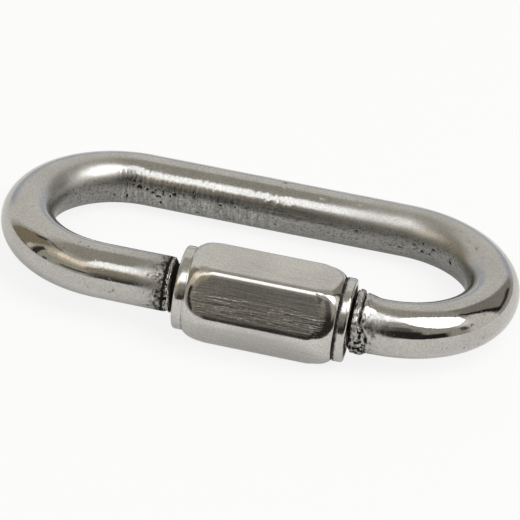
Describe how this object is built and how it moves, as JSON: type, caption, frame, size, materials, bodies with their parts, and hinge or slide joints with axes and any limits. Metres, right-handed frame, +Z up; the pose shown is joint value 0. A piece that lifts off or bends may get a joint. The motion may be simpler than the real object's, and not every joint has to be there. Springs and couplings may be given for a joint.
{
  "type": "chain quick link",
  "caption": "Oval chain link bent from round stainless steel bar, with a long hexagon nut that screws across the gap in its side to open and close it.",
  "frame": {"origin": "on the surface the link lies on, in the middle of its outline", "axes": "+X along the loop towards the stop bead, -Y towards the limb with the nut, +Z up from the surface"},
  "size_m": [0.0484, 0.0252, 0.008],
  "materials": {
    "bar_steel": "polished stainless steel with small pits and forming marks",
    "nut_steel": "stainless steel, fine brushing along the nut"
  },
  "bodies": {
    "link": {"link_body": "bar_steel"},
    "nut": {"sleeve_nut": "nut_steel"}
  },
  "joints": [
    {"name": "nut_travel", "type": "slide", "parent": "link", "child": "nut", "axis": [-1, 0, 0], "range_m": [0, 0.0072]}
  ]
}
